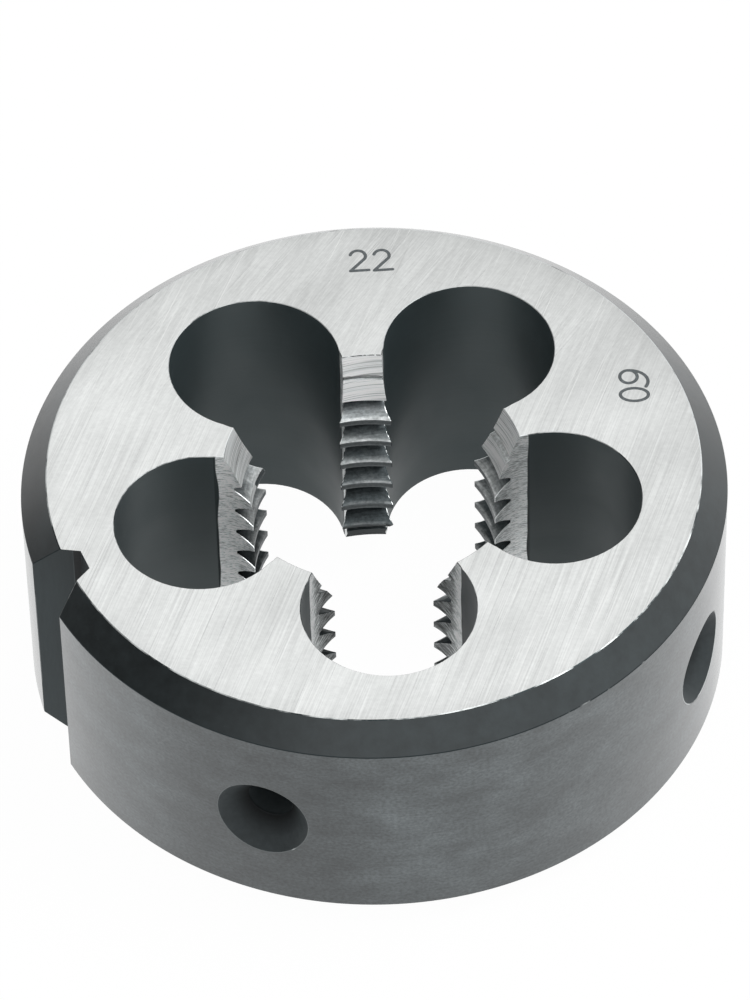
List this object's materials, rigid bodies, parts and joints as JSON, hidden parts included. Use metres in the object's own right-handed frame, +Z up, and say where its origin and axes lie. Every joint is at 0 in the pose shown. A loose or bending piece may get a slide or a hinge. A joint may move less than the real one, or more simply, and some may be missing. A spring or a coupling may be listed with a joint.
{
  "type": "round threading die",
  "caption": "Chamfered steel disc with a toothed bore that cuts a coarse right-hand thread, chip holes round the bore, a V slot and conical screw seats in the rim.",
  "frame": {"origin": "centre of the lower face, on the axis of the bore", "axes": "+Z up along the bore, square to both faces; +X towards the right-hand side of the picture; the V slot is at 201.6 degrees about +Z from +X"},
  "size_m": [0.055, 0.055, 0.022],
  "materials": {
    "die_steel": "hardened tool steel: faces, rim, lead cones and cutting faces ground bright, chamfers, chip holes, slot and seats left black"
  },
  "bodies": {
    "root": {"threading_die": "die_steel"}
  },
  "joints": []
}
